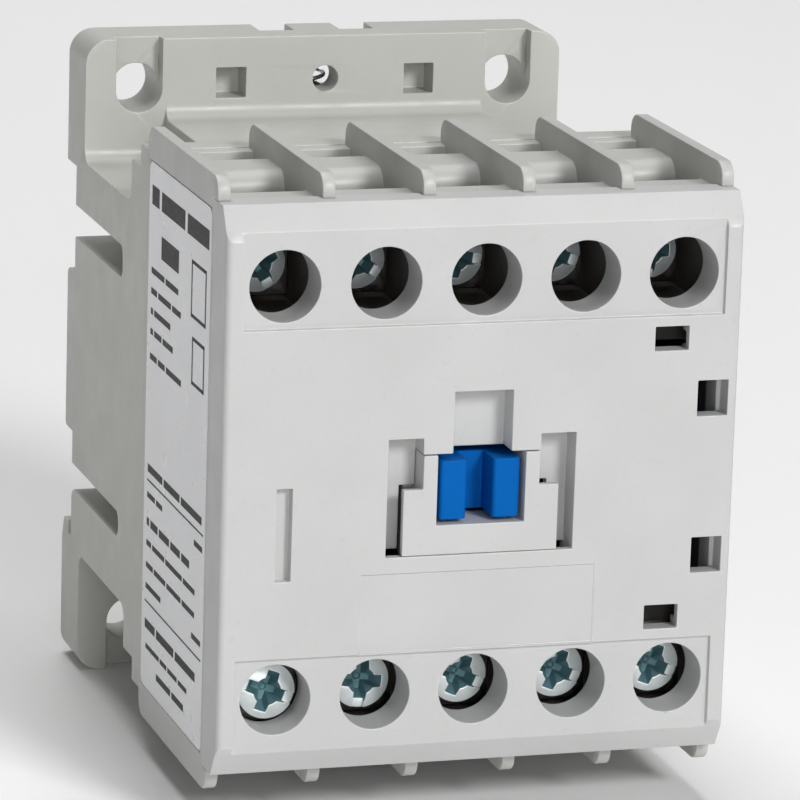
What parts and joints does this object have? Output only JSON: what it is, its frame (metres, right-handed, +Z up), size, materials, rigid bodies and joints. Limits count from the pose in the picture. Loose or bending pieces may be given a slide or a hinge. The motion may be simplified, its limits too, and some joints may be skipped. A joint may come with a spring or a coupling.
{
  "type": "miniature contactor",
  "caption": "Miniature power contactor for a 35 mm rail: moulded case with recessed screw terminals in two rows, blue contact carrier in the front window and a mounting plate at the back.",
  "frame": {"origin": "centre of the four mounting holes, in the rear face that sits against a panel", "axes": "+X to the right, +Y back through the panel, +Z up; the front face looks along -Y"},
  "size_m": [0.045, 0.057, 0.0592],
  "materials": {
    "cover_plastic": "fine spark-eroded satin, light grey",
    "housing_plastic": "satin, light grey",
    "base_plastic": "satin, warm light grey",
    "guide_plastic": "satin, light grey",
    "catch_plastic": "satin, light grey",
    "label_film": "printed polyester film",
    "carrier_blue": "satin, signal blue",
    "screw_zinc": "blue-passivated zinc plate",
    "washer_zinc": "blue-passivated zinc plate",
    "strip_metal": "stamped brass",
    "contact_copper": "stamped copper",
    "core_steel": "ground electrical steel laminations",
    "spring_steel": "drawn spring wire",
    "winding_enamel": "enamelled copper wire",
    "bobbin_plastic": "glass-filled nylon",
    "damper_rubber": "cellular rubber"
  },
  "bodies": {
    "root": {"base_housing": "base_plastic", "terminal_housing": "housing_plastic", "front_cover": "cover_plastic", "actuator_guide": "guide_plastic", "side_label": "label_film", "magnet_core": "core_steel", "shading_rings": "contact_copper", "coil_bobbin": "bobbin_plastic", "coil_winding": "winding_enamel", "damper_pad": "damper_rubber", "coil_terminal_upper": "strip_metal", "coil_terminal_lower": "strip_metal", "return_spring_left": "spring_steel", "return_spring_right": "spring_steel", "rail_catch_spring": "spring_steel", "line_contact_1": "strip_metal", "load_contact_1": "strip_metal", "line_contact_2": "strip_metal", "load_contact_2": "strip_metal", "line_contact_3": "strip_metal", "load_contact_3": "strip_metal", "line_contact_4": "strip_metal", "load_contact_4": "strip_metal"},
    "carrier": {"contact_carrier": "carrier_blue", "armature": "core_steel", "armature_pin": "spring_steel", "moving_contact_1": "contact_copper", "moving_contact_2": "contact_copper", "moving_contact_3": "contact_copper", "moving_contact_4": "contact_copper", "contact_spring_1": "spring_steel", "contact_spring_2": "spring_steel", "contact_spring_3": "spring_steel", "contact_spring_4": "spring_steel"},
    "catch": {"rail_catch": "catch_plastic"},
    "clamp_1": {"clamp_washer_1": "washer_zinc"},
    "screw_1": {"terminal_screw_1": "screw_zinc"},
    "clamp_2": {"clamp_washer_2": "washer_zinc"},
    "screw_2": {"terminal_screw_2": "screw_zinc"},
    "clamp_3": {"clamp_washer_3": "washer_zinc"},
    "screw_3": {"terminal_screw_3": "screw_zinc"},
    "clamp_4": {"clamp_washer_4": "washer_zinc"},
    "screw_4": {"terminal_screw_4": "screw_zinc"},
    "clamp_5": {"clamp_washer_5": "washer_zinc"},
    "screw_5": {"terminal_screw_5": "screw_zinc"},
    "clamp_6": {"clamp_washer_6": "washer_zinc"},
    "screw_6": {"terminal_screw_6": "screw_zinc"},
    "clamp_7": {"clamp_washer_7": "washer_zinc"},
    "screw_7": {"terminal_screw_7": "screw_zinc"},
    "clamp_8": {"clamp_washer_8": "washer_zinc"},
    "screw_8": {"terminal_screw_8": "screw_zinc"},
    "clamp_9": {"clamp_washer_9": "washer_zinc"},
    "screw_9": {"terminal_screw_9": "screw_zinc"},
    "clamp_10": {"clamp_washer_10": "washer_zinc"},
    "screw_10": {"terminal_screw_10": "screw_zinc"}
  },
  "joints": [
    {"name": "carrier_press", "type": "slide", "parent": "root", "child": "carrier", "axis": [0, 1, 0], "range_m": [0, 0.003], "stiffness_N_per_m": 300, "springref_m": -0.003, "deforming": ["return_spring_left", "return_spring_right"]},
    {"name": "catch_lift", "type": "slide", "parent": "root", "child": "catch", "axis": [0, 0, 1], "range_m": [0, 0.003], "stiffness_N_per_m": 900, "springref_m": -0.0025, "deforming": ["rail_catch_spring"]},
    {"name": "clamp_1_travel", "type": "slide", "parent": "root", "child": "clamp_1", "axis": [0, 1, 0], "range_m": [-0.0063, 0.0027]},
    {"name": "screw_1_turn", "type": "hinge", "parent": "clamp_1", "child": "screw_1", "pos_m": [-0.01736, -0.045, 0.0177], "axis": [0, 1, 0], "range_deg": [-3781, 1621]},
    {"name": "clamp_2_travel", "type": "slide", "parent": "root", "child": "clamp_2", "axis": [0, 1, 0], "range_m": [-0.0063, 0.0027]},
    {"name": "screw_2_turn", "type": "hinge", "parent": "clamp_2", "child": "screw_2", "pos_m": [-0.00868, -0.045, 0.0177], "axis": [0, 1, 0], "range_deg": [-3781, 1621]},
    {"name": "clamp_3_travel", "type": "slide", "parent": "root", "child": "clamp_3", "axis": [0, 1, 0], "range_m": [-0.0063, 0.0027]},
    {"name": "screw_3_turn", "type": "hinge", "parent": "clamp_3", "child": "screw_3", "pos_m": [0, -0.045, 0.0177], "axis": [0, 1, 0], "range_deg": [-3781, 1621]},
    {"name": "clamp_4_travel", "type": "slide", "parent": "root", "child": "clamp_4", "axis": [0, 1, 0], "range_m": [-0.0063, 0.0027]},
    {"name": "screw_4_turn", "type": "hinge", "parent": "clamp_4", "child": "screw_4", "pos_m": [0.00868, -0.045, 0.0177], "axis": [0, 1, 0], "range_deg": [-3781, 1621]},
    {"name": "clamp_5_travel", "type": "slide", "parent": "root", "child": "clamp_5", "axis": [0, 1, 0], "range_m": [-0.0063, 0.0027]},
    {"name": "screw_5_turn", "type": "hinge", "parent": "clamp_5", "child": "screw_5", "pos_m": [0.01736, -0.045, 0.0177], "axis": [0, 1, 0], "range_deg": [-3781, 1621]},
    {"name": "clamp_6_travel", "type": "slide", "parent": "root", "child": "clamp_6", "axis": [0, 1, 0], "range_m": [0, 0.009]},
    {"name": "screw_6_turn", "type": "hinge", "parent": "clamp_6", "child": "screw_6", "pos_m": [-0.01736, -0.045, -0.0177], "axis": [0, 1, 0], "range_deg": [-1, 5401]},
    {"name": "clamp_7_travel", "type": "slide", "parent": "root", "child": "clamp_7", "axis": [0, 1, 0], "range_m": [-0.0015, 0.0075]},
    {"name": "screw_7_turn", "type": "hinge", "parent": "clamp_7", "child": "screw_7", "pos_m": [-0.00868, -0.045, -0.0177], "axis": [0, 1, 0], "range_deg": [-901, 4501]},
    {"name": "clamp_8_travel", "type": "slide", "parent": "root", "child": "clamp_8", "axis": [0, 1, 0], "range_m": [-0.0015, 0.0075]},
    {"name": "screw_8_turn", "type": "hinge", "parent": "clamp_8", "child": "screw_8", "pos_m": [0, -0.045, -0.0177], "axis": [0, 1, 0], "range_deg": [-901, 4501]},
    {"name": "clamp_9_travel", "type": "slide", "parent": "root", "child": "clamp_9", "axis": [0, 1, 0], "range_m": [-0.0015, 0.0075]},
    {"name": "screw_9_turn", "type": "hinge", "parent": "clamp_9", "child": "screw_9", "pos_m": [0.00868, -0.045, -0.0177], "axis": [0, 1, 0], "range_deg": [-901, 4501]},
    {"name": "clamp_10_travel", "type": "slide", "parent": "root", "child": "clamp_10", "axis": [0, 1, 0], "range_m": [-0.0015, 0.0075]},
    {"name": "screw_10_turn", "type": "hinge", "parent": "clamp_10", "child": "screw_10", "pos_m": [0.01736, -0.045, -0.0177], "axis": [0, 1, 0], "range_deg": [-901, 4501]}
  ],
  "couplings": [
    {"joint": "screw_1_turn", "follows": "clamp_1_travel", "rad_per_m": 10472},
    {"joint": "screw_2_turn", "follows": "clamp_2_travel", "rad_per_m": 10472},
    {"joint": "screw_3_turn", "follows": "clamp_3_travel", "rad_per_m": 10472},
    {"joint": "screw_4_turn", "follows": "clamp_4_travel", "rad_per_m": 10472},
    {"joint": "screw_5_turn", "follows": "clamp_5_travel", "rad_per_m": 10472},
    {"joint": "screw_6_turn", "follows": "clamp_6_travel", "rad_per_m": 10472},
    {"joint": "screw_7_turn", "follows": "clamp_7_travel", "rad_per_m": 10472},
    {"joint": "screw_8_turn", "follows": "clamp_8_travel", "rad_per_m": 10472},
    {"joint": "screw_9_turn", "follows": "clamp_9_travel", "rad_per_m": 10472},
    {"joint": "screw_10_turn", "follows": "clamp_10_travel", "rad_per_m": 10472}
  ]
}
